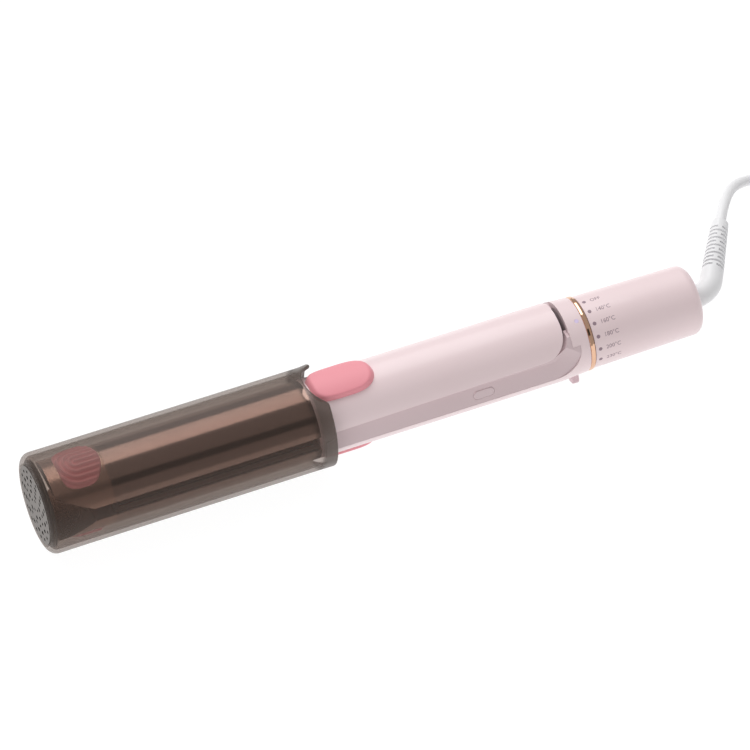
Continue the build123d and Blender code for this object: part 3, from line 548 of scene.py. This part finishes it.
dress(black_plastic, "tact_switch", "dial_encoder")
tube_plastic = moulded("tube_plastic", tone(214, 196, 200), tone(204, 186, 190), 0.5)
dress(tube_plastic, "rear_tube")
wire_sheath = moulded("wire_sheath", tone(226, 222, 218), tone(210, 205, 200), 0.5)
dress(wire_sheath, "upper_heater_wires", "lower_heater_wires", "mains_wires")

# ---- Heat sleeve ----------------------------------------------------------------------------------
# A soft sleeve of smoky brown silicone, moulded 1.6 mm thick and see-through, slipped over the hot end to
# keep the fingers off it. Its rear edge has a rounded lip and a scallop above and below for the finger
# pads, and a stiffer disc of the same colour, full of vent holes, is pressed into its front.
sleeve_low, sleeve_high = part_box("heat_sleeve")
sleeve_r = (sleeve_high.y - sleeve_low.y) / 2
sleeve_wall = 0.0016
sleeve_front, sleeve_rear = sleeve_low.x, sleeve_high.x
shoulder_r = 0.0040
face_thick = 0.0020
disc_hole_r = 0.01775
scallop_depth, scallop_r = 0.0070, 0.0136
around_count = 240
scallop_middle = sleeve_rear - scallop_depth + scallop_r
angles = np.linspace(0, 2 * math.pi, around_count, endpoint=False)
sideways = np.abs(sleeve_r * np.sin(angles))
edge = np.where(
    sideways < scallop_r,
    scallop_middle - np.sqrt(np.maximum(scallop_r**2 - sideways**2, 0)),
    sleeve_rear,
)
edge = np.minimum(edge, sleeve_rear) - 0.0010 * (1 - np.sin(angles))
for _ in range(3):
    edge = (np.roll(edge, 1) + edge + np.roll(edge, -1)) / 3
lip_r = sleeve_wall / 2
profile = [(0.0, 0.0003, disc_hole_r), (0.0, 0.0, disc_hole_r + 0.0001)]
profile += [
    (0.0, shoulder_r * (1 - math.cos(b)), sleeve_r - shoulder_r * (1 - math.sin(b)))
    for b in (math.pi / 2 * i / 8 for i in range(9))
]
outer_rows = 44
for i in range(1, outer_rows + 1):
    profile.append((i / outer_rows, shoulder_r, sleeve_r))
for i in range(1, 9):
    bend = math.pi * i / 8
    profile.append((1.0, shoulder_r + lip_r * math.sin(bend), sleeve_r - lip_r * (1 - math.cos(bend))))
inner_rows = 12
for i in range(inner_rows - 1, -1, -1):
    profile.append((i / inner_rows, shoulder_r, sleeve_r - sleeve_wall))
inner_round = shoulder_r - face_thick
lip_flare = 0.00035
for i in range(1, 6):
    bend = math.pi / 2 * i / 5
    profile.append((
        0.0,
        shoulder_r - inner_round * math.sin(bend),
        sleeve_r - sleeve_wall - inner_round * (1 - math.cos(bend)),
    ))
profile.append((0.0, face_thick, disc_hole_r))
points = []
for share, offset, radius in profile:
    for i, angle in enumerate(angles):
        length = edge[i] - lip_r - sleeve_front - shoulder_r
        x = sleeve_front + offset + share * length
        ripple = 0.00003 * (math.sin(3 * angle + 55 * x) + math.sin(5 * angle - 38 * x + 1.0))
        lift = (ripple - 0.00006) * ease(share * 8) * ease((1 - share) * 12)
        flare = lip_flare * ease((share - 0.975) / 0.025) * max(0.0, math.cos(angle)) ** 0.5
        r = radius + lift + flare
        points.append((x, r * math.sin(angle), axis_height + r * math.cos(angle)))
faces = ring_faces(len(profile), around_count)
last = (len(profile) - 1) * around_count
faces += [
    (last + i, last + (i + 1) % around_count, (i + 1) % around_count, i) for i in range(around_count)
]
faces = [tuple(reversed(f)) for f in faces]
smoky = Finish("smoky_silicone", Specular_IOR_Level=0.55)
clouds = smoky.noise(22.0, 3.0)
skin = smoky.noise(1400.0, 3.0)
smoky.feed(
    Base_Color=smoky.mix(clouds, tone(100, 88, 81), tone(92, 81, 75)),
    Roughness=clouds * 0.08 + skin * 0.06 + 0.30,
    Normal=smoky.bump(skin, 0.000003, 0.2),
)
clear = smoky.tree.nodes.new("ShaderNodeBsdfTransparent")
clear.inputs["Color"].default_value = (0.93, 0.88, 0.85, 1.0)
facing = smoky.node("ShaderNodeLayerWeight", {}, {"Blend": 0.35}, 1)
hem_start, hem_full = sleeve_rear - 0.0092, sleeve_rear - 0.0068
along_sleeve = smoky.node("ShaderNodeSeparateXYZ", {}, {0: smoky.place()})
hem = smoky.node("ShaderNodeMapRange", {}, {0: along_sleeve, 1: hem_start, 2: hem_full})
body_share = facing * 0.45 + hem * 0.42 + 0.20
blend = smoky.tree.nodes.new("ShaderNodeMixShader")
smoky.tree.links.new(body_share.socket, blend.inputs[0])
smoky.tree.links.new(clear.outputs[0], blend.inputs[1])
smoky.tree.links.new(smoky.shader.outputs[0], blend.inputs[2])
smoky.tree.links.new(blend.outputs[0], smoky.tree.nodes["Material Output"].inputs["Surface"])
sleeve = link("silicone_sleeve", points, faces, smoky)
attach(sleeve, "sleeve")
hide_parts("heat_sleeve")
vent_plastic = moulded("vent_plastic", tone(104, 95, 88), tone(92, 83, 77), 0.42)
# Painted shade: the walls of its holes and its rim, which don't face along the wand, are painted near black
# for the shade that falls in the holes.
normal = vent_plastic.node("ShaderNodeTexCoord", {}, {}, 1)
along_wand = vent_plastic.node("ShaderNodeSeparateXYZ", {}, {0: normal})
unshaded_faces = vent_plastic.math("GREATER_THAN", vent_plastic.math("ABSOLUTE", along_wand), 0.5)
plastic = vent_plastic.mix(vent_plastic.noise(28.0), tone(104, 95, 88), tone(92, 83, 77))
vent_plastic.feed(Base_Color=vent_plastic.mix(unshaded_faces, tone(18, 15, 14), plastic))
dress(vent_plastic, "sleeve_vent_disc")
